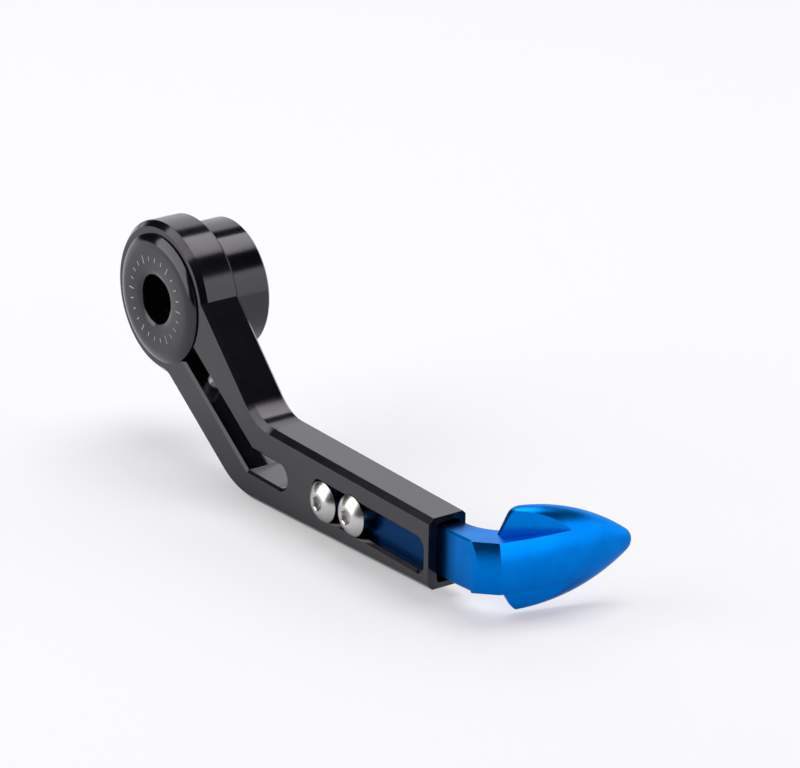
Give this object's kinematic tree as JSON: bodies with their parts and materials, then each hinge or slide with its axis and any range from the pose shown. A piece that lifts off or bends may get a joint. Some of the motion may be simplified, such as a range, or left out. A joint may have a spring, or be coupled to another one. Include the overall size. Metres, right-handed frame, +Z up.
{
  "type": "brake lever guard",
  "caption": "Bar-end lever guard: a cranked arm with a split clamp ring on a turned bush, and an adjustable bullet-shaped tip that slides in its slotted hollow end.",
  "frame": {"origin": "on the bar's axis, in the flat back face of the bush that meets the end of the handlebar", "axes": "+Y along the bar's axis, inboard into the bar; +X forward along the hollow section of the arm; +Z up"},
  "size_m": [0.1455, 0.0424, 0.056],
  "materials": {
    "black_anodised": "satin black anodised",
    "blue_anodised": "satin blue anodised",
    "stainless": "bright stainless"
  },
  "bodies": {
    "hub": {"bar_bush": "black_anodised", "front_cap": "black_anodised"},
    "arm": {"guard_arm": "black_anodised", "pinch_screw": "stainless"},
    "tip": {"guard_tip": "blue_anodised", "tip_screws": "stainless"}
  },
  "joints": [
    {"name": "arm_swivel", "type": "hinge", "parent": "hub", "child": "arm", "pos_m": [0, 0, 0], "axis": [0, 1, 0], "continuous": true},
    {"name": "tip_slide", "type": "slide", "parent": "arm", "child": "tip", "axis": [1, 0, 0], "range_m": [0, 0.023]}
  ]
}
